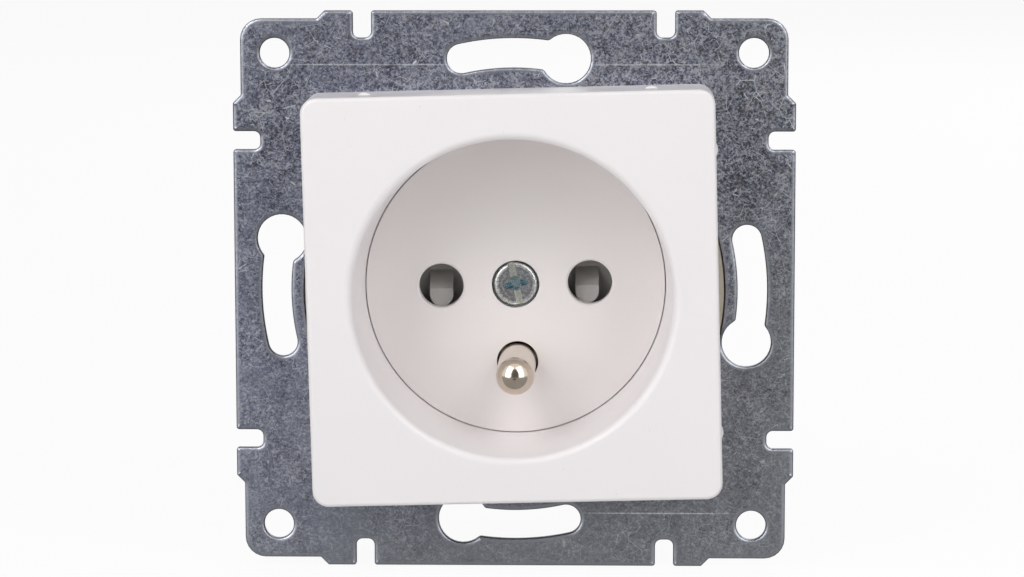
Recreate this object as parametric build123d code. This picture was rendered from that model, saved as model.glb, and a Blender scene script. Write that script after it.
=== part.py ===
"""Flush wall socket with an earth pin, on a steel mounting plate for a round wall box.

The wall is the XZ plane. The plate's back lies on it at y = 0, centred on the origin, the front
of the socket looks along -Y and +Z is up. Sizes are in millimetres. Depths are y values, so a
larger depth is further into the wall. Each function makes one piece, in the place that it has in
the finished socket.
"""

from build123d import *
from math import asin, cos, hypot, radians, sin, sqrt, tan
import os

# Plug system: the pins, the earth pin and the depth of the dish
pin_pitch = 19.0
pin_hole_d = 5.7
pin_length = 19.0
pin_end_gap = 0.6
earth_drop = 10.0
earth_pin_d = 4.8
earth_pin_reach = 14.0
dish_depth = 15.0

# The mechanism sits a little askew in its plate, anticlockwise seen from the front
insert_twist = 1.4

# How far fused shapes run into each other, how far a cut runs past a face, and what counts as equal
lap = 0.5
past = 1.0
same = 0.01

# Mounting plate. The box screws' pitch sets its keyholes, its corner holes and its side
box_pitch = 60.0
plate_margin = 5.3
plate_thickness = 1.0
plate_corner_r = 2.6
corner_step = 1.0
corner_zone = 10.6
corner_hole_d = 3.75
notch_pitch = 38.0
notch_width = 2.3
notch_depth = 3.4
notch_inner_r = 0.8
notch_mouth_r = 0.35
key_slot_width = 3.7
key_hole_d = 6.2
key_neck_r = 0.5
key_half_angle = 12.6

# Cover
cover_side = 51.2
cover_height = 8.6
cover_corner_r = 2.0
cover_inner_corner_r = 0.7
cover_edge_r = 0.5
cover_wall = 1.6
face_thickness = 2.0
dish_mouth_r = 19.9
dish_taper = 0.7
dish_lip_r = 1.0
dish_wall = 1.3
ledge_width = 1.4
ledge_thickness = 1.4
rib_thickness = 1.2
rib_angle = 24.0
rib_gap = 0.6
pip_pitch = 35.6
pip_length = 1.6
pip_height = 0.3
pip_depth = 1.5
pip_setback = 3.4

# Floor plate of the dish
seam_gap = 0.12
floor_thickness = 2.0
pin_hole_chamfer = 0.2
earth_hole_gap = 0.25
screw_clearance = 0.15
hub_r = 3.6
hub_length = 5.0
screw_well_d = 6.1
screw_well_depth = 1.9
guide_wall = 1.0
guide_gap = 0.25
guide_end_gap = 0.45
guide_rim_gap = 0.2
spring_seat_height = 0.8
spring_seat_half_width = 2.6

# Shutter and its spring. The ramps sit a little to the left on the shutter
shutter_travel = 5.8
shutter_plate = 1.4
shutter_play = 0.15
shutter_corner_r = 0.6
leg_overlap = 0.2
leg_foot = 3.7
leg_hub_gap = 0.15
bridge_height = 1.7
bridge_half_width = 8.6
ramp_height = 2.6
ramp_width = 3.0
ramp_inset = 0.15
ramp_shift = -0.25
ramp_top = 1.5
ramp_foot = 2.9
ramp_knee = 0.7
ramp_knee_back = 0.45
spring_d = 2.6
spring_wire_d = 0.36
spring_turns = 5.5
spring_gap = 0.05
spring_least = 2.7
spring_peg_r = 0.75
spring_peg_height = 1.2

# Keeper behind the shutter
keeper_thickness = 0.8
keeper_gap = 0.3
keeper_margin = 0.6
keeper_edge_gap = 0.5
keeper_hub_gap = 0.3
keeper_clamp_gap = 0.4

# Base
bore_gap = 0.4
well_gap = 0.1
boss_wall = 1.6
plate_gap = 0.2
lobe_r = 26.4
lobe_half_angle = 17.5
lobe_gap = 0.1
flange_thickness = 2.2
flange_step = 2.3
channel_wall = 0.8
base_back = 27.2
base_edge_r = 1.2
shelf_gap = 0.2
pocket_gap = 0.35
pocket_corner_r = 1.2
nut_pocket_gap = 0.15
pillar_r = 3.4
core_width = 6.4
core_rib = 1.4
core_wall = 2.2
core_floor = 1.6
core_corner_r = 0.8

# Contacts and terminals, alike for the live pins and the earth
strip_thickness = 0.7
jaw_inner_r = 2.25
jaw_gap = 0.35
jaw_length = 9.4
jaw_mouth = 0.65
jaw_mouth_depth = 1.0
jaw_slot_half_angle = 38.0
clip_wall = 0.4
clip_front = 16.0
clip_length = 4.0
clip_half_opening = 55.0
clip_gap = 0.02
neck_sink = 0.35
neck_half_width = 2.3
terminal_gap = 0.8
pad_half_width = 3.2
pad_corner_r = 0.8
pad_overhang = 0.2
pad_side_gap = 0.2
terminal_leg_gap = 1.1
terminal_half_span = 9.0
terminal_half_width = 3.9
collar_r = 2.5
collar_length = 1.2
collar_gap = 0.4
terminal_screw_d = 3.4
terminal_screw_gap = 0.05
terminal_head_r = 3.0
terminal_head_height = 2.0
terminal_screw_length = 7.4
terminal_end_gap = 0.6
head_chamfer = 0.3
terminal_screw_turn = 35.0
wire_room = 1.9
clamp_thickness = 1.0
clamp_half_side = 3.3
clamp_leg = 0.8
clamp_leg_depth = 1.6
clamp_bend_r = 0.5
wire_hole_d = 4.4
wire_hole_offset = 6.6
wire_funnel = 0.7

# Earth pin and strap
pin_shank_r = 2.0
pin_shoulder_r = 3.2
pin_shoulder_height = 1.2
pin_tail_r = 1.8
pin_rivet_r = 2.5
pin_rivet_height = 0.7
pin_rivet_slope = 0.5
pin_tail_gap = 0.02
earth_room = 0.4
strap_thickness = 0.8
strap_half_width = 3.3
strap_foot = 4.2
strap_gap = 0.3
strap_back_gap = 0.2

# Centre screw, its nut and the plate rivets
centre_thread_d = 3.0
centre_head_d = 5.5
centre_head_height = 1.7
centre_head_edge_r = 0.35
slot_width = 0.85
slot_depth = 0.9
cross_width = 0.8
cross_span = 3.0
cross_depth = 1.2
cross_end_span = 1.2
cross_end_width = 0.55
screw_turn = 12.0
nut_side = 5.5
nut_thickness = 2.0
nut_depth = 16.0
nut_chamfer = 0.4
nut_thread_gap = 0.02
screw_overrun = 1.5
screw_tip_chamfer = 0.4
rivet_edge = 1.75
rivet_angle = 45.0
rivet_shank_r = 1.0
rivet_head_r = 1.7
rivet_head_height = 0.8
rivet_gap = 0.05
rivet_head_gap = 0.3

# The plate's side and the depths that follow from the sizes above
plate_side = box_pitch + 2 * plate_margin
plate_front = -plate_thickness
face_depth = plate_front - cover_height
floor_depth = face_depth + dish_depth
floor_back = floor_depth + floor_thickness
tube_back = floor_back + ledge_thickness
shelf_depth = tube_back + shelf_gap
hub_back = floor_depth + hub_length
shutter_front = floor_back + shutter_play
shutter_back = shutter_front + ramp_height + shutter_plate
keeper_front = shutter_back + shutter_play
keeper_back = keeper_front + keeper_thickness
well_depth = keeper_back + keeper_gap
jaw_front = well_depth + jaw_gap
clamp_front = tube_back + terminal_gap + terminal_head_height
pad_depth = clamp_front + clamp_thickness + wire_room
pad_back = pad_depth + strip_thickness
strap_back = pad_depth + strap_thickness
pocket_back = floor_depth + pin_length + pin_end_gap

# Radii and places that follow
pin_x = pin_pitch / 2
tube_r = dish_mouth_r + dish_wall
dish_floor_r = dish_mouth_r - dish_taper
bore_r = tube_r + bore_gap
boss_r = bore_r + boss_wall
ledge_r = dish_floor_r - ledge_width
well_r = ledge_r + well_gap
floor_r = dish_floor_r - seam_gap
jaw_outer_r = jaw_inner_r + strip_thickness
leg_half_width = pin_x + pin_hole_d / 2 + leg_overlap
terminal_r = leg_half_width + terminal_leg_gap + clamp_half_side
guide_x = leg_half_width + guide_gap
guide_out = guide_x + guide_wall
guide_low = clamp_half_side + guide_end_gap
guide_high = sqrt((ledge_r - guide_rim_gap) ** 2 - guide_out**2)
spring_seat_top = hub_r + spring_seat_height
bridge_low = spring_seat_top + spring_least + shutter_travel
bridge_top = bridge_low + bridge_height
thread_r = terminal_screw_d / 2 + terminal_screw_gap
riser_r = max(bore_r + strap_gap, terminal_r + clamp_half_side + strap_gap)
riser_back_r = riser_r + strap_thickness
body_flat = riser_back_r + strap_back_gap + channel_wall
rivet_circle_r = boss_r + rivet_edge
flange_r = rivet_circle_r + rivet_edge
body_r = flange_r - flange_step
spring_depth = hub_back - spring_d / 2 - spring_gap


def slab(outline, back, front):
    """Thicken a flat outline, drawn as (x, z), from y = back forward to y = front."""
    return extrude(Plane.XZ.offset(-back) * outline, back - front)


def round_bar(radius, back, front, x=0.0, z=0.0):
    """A round bar along Y."""
    return slab(Pos(x, z) * Circle(radius), back, front)


def block(x_low, x_high, y_low, y_high, z_low, z_high):
    """A rectangular block between two corners."""
    centre = ((x_low + x_high) / 2, (y_low + y_high) / 2, (z_low + z_high) / 2)
    return Pos(*centre) * Box(x_high - x_low, y_high - y_low, z_high - z_low)


def turned(profile, x=0.0, z=0.0):
    """Turn a closed profile of (radius, depth) points about an axis along Y."""
    section = make_face(Polyline(*profile, close=True))
    return Pos(x, 0, z) * revolve(section, Axis.Y)


def about_front(angle, shape):
    """Turn a shape about the socket's axis, anticlockwise seen from the front."""
    return Rot(0, -angle, 0) * shape


def askew(shape):
    """Give a piece of the mechanism its small twist in the plate."""
    return about_front(insert_twist, shape)


def on_circle(radius, angle):
    """A point at an angle from +X, as (x, z)."""
    return radius * cos(radians(angle)), radius * sin(radians(angle))


def key_slot():
    """One keyhole on the bolt circle: an arc slot at the top that ends in a round hole."""
    circle_r = box_pitch / 2
    ends = (90 + key_half_angle, 90 - key_half_angle)
    arc = CenterArc((0, 0), circle_r, ends[0], ends[1] - ends[0])
    hole_x, hole_z = on_circle(circle_r, ends[1])
    hole_r = key_hole_d / 2
    outline = SlotArc(arc, key_slot_width) + Pos(hole_x, hole_z) * Circle(hole_r)
    on_hole = [v for v in outline.vertices() if abs(hypot(v.X - hole_x, v.Y - hole_z) - hole_r) < same]
    necks = [v for v in on_hole if v.X < hole_x]
    return fillet(necks, key_neck_r)


def edge_notch():
    """A notch in the top edge, rounded inside and slightly rounded at its mouth."""
    half = notch_width / 2
    edge = plate_side / 2
    notch = Pos(0, edge) * Rectangle(notch_width, 2 * notch_depth)
    inner = [v for v in notch.vertices() if v.Y < edge]
    notch = fillet(inner, notch_inner_r)
    mouth = Pos(0, edge) * Rectangle(notch_width + 2 * notch_mouth_r, 2 * notch_mouth_r)
    for side in (-1, 1):
        mouth -= Pos(side * (half + notch_mouth_r), edge - notch_mouth_r) * Circle(notch_mouth_r)
    return notch + mouth


def base_front_outline(grow_boss=0.0, grow_lobe=0.0):
    """The boss and the two side lobes that stand in the plate's opening."""
    outline = Circle(boss_r + grow_boss)
    reach = lobe_r + grow_lobe
    half_height = lobe_r * sin(radians(lobe_half_angle)) + grow_lobe
    return outline + (Circle(reach) & Rectangle(2 * reach, 2 * half_height))


def mounting_plate():
    """Pressed steel plate: stepped corners, notches, keyholes and the opening for the base."""
    half = plate_side / 2
    outline = Rectangle(plate_side, plate_side)
    for turn in range(4):
        # Each edge stands back by the step near both its ends, with a 45 degree slope between
        full = half - corner_zone - corner_step
        for side in (-1, 1):
            strip = Polyline(
                (side * full, half),
                (side * (full + corner_step), half - corner_step),
                (side * (half + past), half - corner_step),
                (side * (half + past), half + past),
                (side * full, half + past),
                close=True,
            )
            outline -= Rot(0, 0, 90 * turn) * make_face(strip)
    corner = half - corner_step
    corners = [v for v in outline.vertices() if min(abs(v.X), abs(v.Y)) > corner - same]
    outline = fillet(corners, plate_corner_r)
    for turn in range(4):
        outline -= Rot(0, 0, 90 * turn) * key_slot()
        for side in (-1, 1):
            outline -= Rot(0, 0, 90 * turn) * Pos(side * notch_pitch / 2, 0) * edge_notch()
    holes = GridLocations(box_pitch, box_pitch, 2, 2)
    outline -= [place * Circle(corner_hole_d / 2) for place in holes]
    opening = base_front_outline(plate_gap, lobe_gap)
    opening += [Pos(*rivet_place(turn)) * Circle(rivet_shank_r + rivet_gap) for turn in range(4)]
    outline -= Rot(0, 0, insert_twist) * opening
    return slab(outline, 0, plate_front)


def rivet_place(turn):
    """Where the rivets join the base's flange to the plate, as (x, z)."""
    return on_circle(rivet_circle_r, rivet_angle + 90 * turn)


def rivet_dome(face, way):
    """The arc of a spherical rivet head, from its rim on a face out to its top."""
    dome_r = (rivet_head_r**2 + rivet_head_height**2) / (2 * rivet_head_height)
    half_angle = asin(rivet_head_r / dome_r) / 2
    top = face + way * rivet_head_height
    middle = (dome_r * sin(half_angle), top - way * dome_r * (1 - cos(half_angle)))
    return (rivet_head_r, face), middle, (0, top)


def plate_rivets():
    """Four rivets with domed heads that join the plate and the base's flange."""
    front_rim, front_middle, front_top = rivet_dome(plate_front, -1)
    back_rim, back_middle, back_top = rivet_dome(flange_thickness, 1)
    profile = ThreePointArc(front_top, front_middle, front_rim)
    profile += Polyline(
        front_rim,
        (rivet_shank_r, plate_front),
        (rivet_shank_r, flange_thickness),
        back_rim,
    )
    profile += ThreePointArc(back_rim, back_middle, back_top)
    profile += Line(back_top, front_top)
    rivet = revolve(make_face(profile), Axis.Y)
    rivets = []
    for turn in range(4):
        x, z = rivet_place(turn)
        rivets.append(askew(Pos(x, 0, z) * rivet))
    return Compound(rivets)


def cover_shell():
    """The square skirt and face, hollow behind, with its front edge rounded."""
    outer = slab(RectangleRounded(cover_side, cover_side, cover_corner_r), plate_front, face_depth)
    front_edges = outer.faces().sort_by(Axis.Y)[0].edges()
    outer = fillet(front_edges, cover_edge_r)
    inside = cover_side - 2 * cover_wall
    hollow = RectangleRounded(inside, inside, cover_inner_corner_r)
    return outer - slab(hollow, plate_front, face_depth + face_thickness)


def cover_ribs():
    """Ribs between the dish tube and the skirt, two to each side, clear of the plate's rivets."""
    ribs = []
    inside = cover_side / 2 - cover_wall / 2
    for turn in range(4):
        for side in (-1, 1):
            x = side * tube_r * sin(radians(rib_angle))
            low = sqrt(tube_r**2 - (abs(x) + rib_thickness / 2) ** 2) - dish_wall / 2
            rib = block(
                x - rib_thickness / 2,
                x + rib_thickness / 2,
                face_depth + face_thickness / 2,
                plate_front - rib_gap,
                low,
                inside,
            )
            ribs.append(about_front(90 * turn, rib))
    return ribs


def cover_pips():
    """Small lens-shaped pips on the skirt that hold the trim frame, two to each side."""
    pip_r = (pip_length**2 / 4 + pip_height**2) / (2 * pip_height)
    centre_z = cover_side / 2 + pip_height - pip_r
    back = plate_front - pip_setback
    pips = []
    for turn in range(4):
        for side in (-1, 1):
            pip = round_bar(pip_r, back, back - pip_depth, side * pip_pitch / 2, centre_z)
            pips.append(about_front(90 * turn, pip))
    return pips


def cover_frame():
    """White cover: a square face with a round dish tube that ends in an inward ledge."""
    cover = cover_shell() + cover_ribs() + cover_pips()
    cover += round_bar(tube_r, tube_back, face_depth + face_thickness / 2)
    # The dish: rounded lip, drafted wall, then the ledge that the floor plate presses on
    lip = dish_lip_r
    slope = Polyline(
        (0, face_depth - past),
        (dish_mouth_r + lip, face_depth - past),
        (dish_mouth_r + lip, face_depth),
    )
    start = (dish_mouth_r + lip, face_depth)
    end = (dish_mouth_r, face_depth + lip)
    middle = (dish_mouth_r + lip * (1 - sin(radians(45))), face_depth + lip * (1 - cos(radians(45))))
    edges = slope + ThreePointArc(start, middle, end)
    edges += Polyline(
        end,
        (dish_floor_r, floor_depth),
        (dish_floor_r, floor_back),
        (ledge_r, floor_back),
        (ledge_r, tube_back + past),
        (0, tube_back + past),
        (0, face_depth - past),
    )
    cover -= revolve(make_face(edges), Axis.Y)
    return askew(cover)


def pin_hole(x):
    """A plug pin's hole through the dish's floor, with its rim chamfered."""
    radius = pin_hole_d / 2
    rim = radius + pin_hole_chamfer
    profile = [
        (0, floor_depth - past),
        (rim, floor_depth - past),
        (rim, floor_depth),
        (radius, floor_depth + pin_hole_chamfer),
        (radius, floor_back + past),
        (0, floor_back + past),
    ]
    return turned(profile, x)


def floor_plate():
    """White floor of the dish, with the pin holes, the screw well and the shutter's guides."""
    plate = round_bar(floor_r, floor_back, floor_depth)
    plate += round_bar(hub_r, hub_back, floor_back - lap)
    guide = block(guide_x, guide_out, floor_back - lap, keeper_front, guide_low, guide_high)
    guides = guide + mirror(guide, Plane.YZ)
    plate += guides + mirror(guides, Plane.XY)
    seat = spring_seat_half_width
    plate += block(-seat, seat, floor_back - lap, hub_back, 0, spring_seat_top)
    peg_z = spring_seat_top + spring_peg_height / 2
    plate += Pos(0, spring_depth, peg_z) * Cylinder(spring_peg_r, spring_peg_height)
    for side in (-1, 1):
        plate -= pin_hole(side * pin_x)
    earth_hole = earth_pin_d / 2 + earth_hole_gap
    plate -= round_bar(earth_hole, floor_back + past, floor_depth - past, 0, -earth_drop)
    plate -= round_bar(screw_well_d / 2, floor_depth + screw_well_depth, floor_depth - past)
    plate -= round_bar(centre_thread_d / 2 + screw_clearance, hub_back + past, floor_depth)
    return askew(plate)


def screw_recess(front, turn):
    """The slot and the tapered cross that are pressed into a screw's head."""
    slot = block(-cross_span, cross_span, front - lap, front + slot_depth, -slot_width / 2, slot_width / 2)
    wide = Plane.XZ.offset(-front) * Rectangle(cross_span, cross_width)
    narrow = Plane.XZ.offset(-front - cross_depth) * Rectangle(cross_end_span, cross_end_width)
    wing = loft([wide, narrow])
    return about_front(turn, slot + wing + about_front(90, wing))


def centre_screw():
    """Zinc-plated screw that draws the floor plate and the cover onto the base."""
    back = floor_depth + screw_well_depth
    front = back - centre_head_height
    head = round_bar(centre_head_d / 2, back, front)
    head = fillet(head.faces().sort_by(Axis.Y)[0].edges(), centre_head_edge_r)
    tip = nut_depth + nut_thickness + screw_overrun
    shank = round_bar(centre_thread_d / 2, tip, back)
    shank = chamfer(shank.faces().sort_by(Axis.Y)[-1].edges(), screw_tip_chamfer)
    screw = head + shank - screw_recess(front, 90 + screw_turn)
    return askew(screw)


def centre_nut():
    """Square nut, held against turning by its pocket in the base."""
    nut = slab(Rectangle(nut_side, nut_side), nut_depth + nut_thickness, nut_depth)
    nut = chamfer(nut.edges().filter_by(Axis.Y), nut_chamfer)
    bore = centre_thread_d / 2 + nut_thread_gap
    nut -= round_bar(bore, nut_depth + nut_thickness + past, nut_depth - past)
    return askew(nut)


def shutter():
    """Grey plate that closes both pin holes. Pins that press on both ramps send it down, until its
    windows meet them. Its two legs straddle the hub, under a bridge that the spring pushes up."""
    outline = Pos(0, (bridge_top - leg_foot) / 2) * Rectangle(2 * leg_half_width, bridge_top + leg_foot)
    outline = fillet(outline.vertices(), shutter_corner_r) & Circle(ledge_r - guide_rim_gap)
    slot_low = -leg_foot - past
    slot = Rectangle(2 * (hub_r + leg_hub_gap), bridge_low - slot_low)
    outline -= Pos(0, (bridge_low + slot_low) / 2) * slot
    for side in (-1, 1):
        outline -= Pos(side * pin_x, shutter_travel) * Circle(pin_hole_d / 2)
    plate_face = shutter_back - shutter_plate
    plate = slab(outline, shutter_back, plate_face)
    half = bridge_half_width
    plate += block(-half, half, shutter_front, shutter_back, bridge_low, bridge_top)
    peg_z = bridge_low - spring_peg_height / 2
    plate += Pos(0, spring_depth, peg_z) * Cylinder(spring_peg_r, spring_peg_height)
    for side in (-1, 1):
        plate += ramp(side * (pin_x - ramp_inset) + ramp_shift, plate_face)
    return askew(plate)


def ramp(x, plate_face):
    """A ramp that rises from the shutter's plate towards its foot, which is round from the front."""
    ramp_r = ramp_width / 2
    foot_z = ramp_r - ramp_foot
    outline = Pos(x, (ramp_top + foot_z) / 2) * Rectangle(ramp_width, ramp_top - foot_z)
    outline += Pos(x, foot_z) * Circle(ramp_r)
    air = Polyline(
        (shutter_front - past, ramp_top + past),
        (plate_face, ramp_top + past),
        (plate_face, ramp_top),
        (shutter_front + ramp_knee_back, -ramp_knee),
        (shutter_front, -ramp_foot),
        (shutter_front - past, -ramp_foot),
        close=True,
    )
    wedge = extrude(Plane.YZ.offset(x - ramp_width) * make_face(air), 2 * ramp_width)
    return slab(outline, shutter_back - lap, shutter_front) - wedge


def shutter_spring():
    """Small compression spring between its seat on the floor plate's hub and the shutter's bridge."""
    coil_r = (spring_d - spring_wire_d) / 2
    half_wire = spring_wire_d / 2
    low = spring_seat_top + half_wire + spring_gap
    height = bridge_low - half_wire - spring_gap - low
    path = Helix(height / spring_turns, height, coil_r)
    section = Plane(origin=path @ 0, z_dir=path % 0) * RegularPolygon(half_wire, 6)
    coil = sweep(section, path, is_frenet=True)
    return askew(Pos(0, spring_depth, low) * coil)


def shutter_keeper():
    """Thin plate that keeps the shutter in its guides, open round the hub and beside the clamps."""
    low = -leg_foot - shutter_travel - keeper_margin
    high = bridge_top + keeper_margin
    outline = Pos(0, (low + high) / 2) * Rectangle(2 * guide_out, high - low)
    outline &= Circle(well_r - keeper_edge_gap)
    hub_room = hub_r + keeper_hub_gap
    outline -= Circle(hub_room) + Pos(0, low) * Rectangle(2 * hub_room, -2 * low)
    for side in (-1, 1):
        outline -= Pos(side * pin_x, 0) * Circle(pin_hole_d / 2)
        notch_x = terminal_r * side
        notch_half = clamp_half_side + keeper_clamp_gap
        outline -= Pos(notch_x, 0) * Rectangle(2 * notch_half, 2 * notch_half)
    return askew(slab(outline, keeper_back, keeper_front))


def base():
    """Cream moulded body: boss through the plate, flange behind it, and pockets for the contacts."""
    lobes = base_front_outline()
    body = slab(lobes, 0, plate_front)
    body += slab(lobes + Circle(flange_r), flange_thickness, 0)
    barrel = Circle(body_r) & Rectangle(2 * body_r, 2 * body_flat)
    barrel = slab(barrel, base_back, flange_thickness - lap)
    barrel = fillet(barrel.faces().sort_by(Axis.Y)[-1].edges(), base_edge_r)
    body += barrel
    body -= round_bar(bore_r, shelf_depth, plate_front - past)
    # The module's well leaves the centre pillar standing, which meets the floor plate's hub
    body -= round_bar(well_r, hub_back, shelf_depth - lap)
    body -= slab(Circle(well_r) - Circle(pillar_r), well_depth, hub_back - lap)
    for angle in (0, 180, 270):
        body -= about_front(angle, terminal_pocket())
    for angle in (0, 180):
        body -= about_front(angle, contact_pocket())
    body -= earth_pocket()
    body -= core_cells()
    body -= round_bar(centre_thread_d / 2 + screw_clearance, base_back + past, hub_back - past)
    nut_room = nut_side + 2 * nut_pocket_gap
    body -= slab(Rectangle(nut_room, nut_room), base_back + past, nut_depth)
    head_room = flange_thickness + rivet_head_height + rivet_head_gap
    for turn in range(4):
        x, z = rivet_place(turn)
        body -= round_bar(rivet_shank_r + rivet_gap, flange_thickness, -past, x, z)
        body -= round_bar(rivet_head_r + rivet_head_gap, head_room, flange_thickness, x, z)
    return askew(body)


def core_cells():
    """Cells cored out of the base's back above the terminals, with ribs between them."""
    low = terminal_half_span + core_wall
    reach = min(body_r, body_flat) - core_wall
    cells = []
    for column in (-1.5, -0.5, 0.5, 1.5):
        x = column * (core_width + core_rib)
        cell = (Pos(x, low + reach / 2) * Rectangle(core_width, reach)) & Circle(reach)
        cell = fillet(cell.vertices(), core_corner_r)
        cells.append(slab(cell, base_back + past, well_depth + core_floor))
    return cells


def terminal_pocket():
    """Room for the right-hand terminal: its pad, the screw's end and the two wires."""
    outline = Pos(terminal_r, 0) * Rectangle(2 * terminal_half_width, 2 * terminal_half_span)
    outline = fillet(outline.vertices(), pocket_corner_r)
    pocket = slab(outline, pad_back, shelf_depth - lap)
    end = clamp_front + terminal_screw_length + terminal_end_gap
    pocket += round_bar(collar_r + collar_gap, end, pad_back - lap, terminal_r, 0)
    for side in (-1, 1):
        z = side * wire_hole_offset
        pocket += turned(
            [
                (0, pad_back - lap),
                (wire_hole_d / 2, pad_back - lap),
                (wire_hole_d / 2, base_back - wire_funnel),
                (wire_hole_d / 2 + wire_funnel + past, base_back + past),
                (0, base_back + past),
            ],
            terminal_r,
            z,
        )
    return pocket


def contact_pocket():
    """Room for the right-hand contact's jaws and the end of the plug's pin."""
    reach = jaw_outer_r + clip_wall + pocket_gap
    run = Rectangle(2 * reach, 2 * (pad_half_width + pad_side_gap))
    outline = Pos(pin_x, 0) * Circle(reach) + Pos(pin_x + reach, 0) * run
    outline &= Rectangle(2 * (terminal_r - terminal_half_width + lap), 4 * reach)
    return slab(outline, pocket_back, well_depth - lap)


def earth_pocket():
    """Room for the earth pin's shoulder and the strap that runs forward to the plate."""
    half = strap_half_width + strap_gap
    outer = riser_back_r + strap_back_gap
    top = pin_shoulder_r + strap_gap - earth_drop
    pocket = block(-half, half, well_depth - lap, strap_back, -outer, top)
    rivet_room = strap_back + pin_rivet_height + earth_room
    pocket += round_bar(pin_rivet_r + earth_room, rivet_room, strap_back - lap, 0, -earth_drop)
    pocket += block(-half, half, -past, strap_back, -outer, -riser_r + strap_gap)
    foot = riser_back_r + strap_foot + strap_gap
    pocket += block(-half, half, -past, strap_thickness, -foot, -outer + lap)
    return pocket


def rolled_jaws():
    """A sheet rolled into a split tube with a flared mouth, at the right-hand pin."""
    back = jaw_front + jaw_length
    flare = jaw_front + jaw_mouth_depth
    tube = turned(
        [
            (jaw_inner_r + jaw_mouth, jaw_front),
            (jaw_outer_r + jaw_mouth, jaw_front),
            (jaw_outer_r, flare),
            (jaw_outer_r, back),
            (jaw_inner_r, back),
            (jaw_inner_r, flare),
        ],
        pin_x,
    )
    reach = 2 * jaw_outer_r
    spread = reach * tan(radians(jaw_slot_half_angle))
    wedge = make_face(Polyline((pin_x, 0), (pin_x - reach, spread), (pin_x - reach, -spread), close=True))
    return tube - slab(wedge, back + past, jaw_front - past)


def terminal_hole(strip, depth, thickness, x, z):
    """Draw a threaded collar out of a strip."""
    end = depth + thickness + collar_length
    strip += round_bar(collar_r, end, depth, x, z)
    return strip - round_bar(thread_r, end + past, depth - past, x, z)


def contact():
    """Brass contact at the right: jaws, a neck, and a pad with a threaded collar."""
    strip = rolled_jaws()
    neck_x = pin_x + jaw_outer_r - neck_sink
    neck_out = neck_x + strip_thickness
    neck_back = clip_front + clip_length
    strip += block(neck_x, neck_out, pad_depth, neck_back, -neck_half_width, neck_half_width)
    pad_end = terminal_r + clamp_half_side + pad_overhang
    pad = block(neck_x, pad_end, pad_depth, pad_back, -pad_half_width, pad_half_width)
    pad = fillet(pad.edges().filter_by(Axis.Y).group_by(Axis.X)[-1], pad_corner_r)
    return terminal_hole(strip + pad, pad_depth, strip_thickness, terminal_r, 0)


def line_contact():
    return askew(contact())


def neutral_contact():
    return askew(about_front(180, contact()))


def contact_clip():
    """Steel spring clip round the right-hand jaws, open towards the neck."""
    inner = jaw_outer_r + clip_gap
    outer = inner + clip_wall
    back = clip_front + clip_length
    ring = round_bar(outer, back, clip_front, pin_x)
    ring -= round_bar(inner, back + past, clip_front - past, pin_x)
    reach = 2 * outer
    spread = reach * tan(radians(clip_half_opening))
    wedge = make_face(Polyline((pin_x, 0), (pin_x + reach, spread), (pin_x + reach, -spread), close=True))
    return ring - slab(wedge, back + past, clip_front - past)


def contact_clips():
    """The two spring clips, one round each live contact."""
    return Compound([askew(contact_clip()), askew(about_front(180, contact_clip()))])


def terminal_screw():
    """Slotted cheese-head screw of the right-hand terminal."""
    head_front = clamp_front - terminal_head_height
    head = round_bar(terminal_head_r, clamp_front, head_front, terminal_r)
    head = chamfer(head.faces().sort_by(Axis.Y)[0].edges(), head_chamfer)
    end = clamp_front + terminal_screw_length
    shank = round_bar(terminal_screw_d / 2, end, clamp_front, terminal_r)
    recess = Pos(terminal_r, 0, 0) * screw_recess(head_front, terminal_screw_turn)
    return head + shank - recess


def terminal_clamp():
    """Saddle washer under the right-hand screw: two legs keep the wires under it."""
    back = clamp_front + clamp_thickness
    half = clamp_half_side
    x_low, x_high = terminal_r - half, terminal_r + half
    washer = block(x_low, x_high, clamp_front, back, -half, half)
    for leg_x in (x_low, x_high - clamp_leg):
        washer += block(leg_x, leg_x + clamp_leg, clamp_front, back + clamp_leg_depth, -half, half)
    front_edges = washer.edges().filter_by(Axis.Z).group_by(Axis.Y)[0]
    washer = fillet(front_edges, clamp_bend_r)
    hole_r = terminal_screw_d / 2 + screw_clearance
    return washer - round_bar(hole_r, back + past, clamp_front - past, terminal_r)


def earth_pin():
    """Nickel-plated pin with a domed tip, shouldered and riveted into the strap."""
    tip = floor_depth - earth_pin_reach
    radius = earth_pin_d / 2
    shoulder = pad_depth - pin_shoulder_height
    start = (0, tip)
    end = (radius, tip + radius)
    middle = (radius * sin(radians(45)), tip + radius * (1 - cos(radians(45))))
    edges = ThreePointArc(start, middle, end) + Polyline(
        end,
        (radius, floor_depth),
        (pin_shank_r, floor_depth),
        (pin_shank_r, shoulder),
        (pin_shoulder_r, shoulder),
        (pin_shoulder_r, pad_depth),
        (pin_tail_r, pad_depth),
        (pin_tail_r, strap_back),
        (pin_rivet_r, strap_back),
        (pin_rivet_r - pin_rivet_slope, strap_back + pin_rivet_height),
        (0, strap_back + pin_rivet_height),
        start,
    )
    return askew(Pos(0, 0, -earth_drop) * revolve(make_face(edges), Axis.Y))


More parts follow.
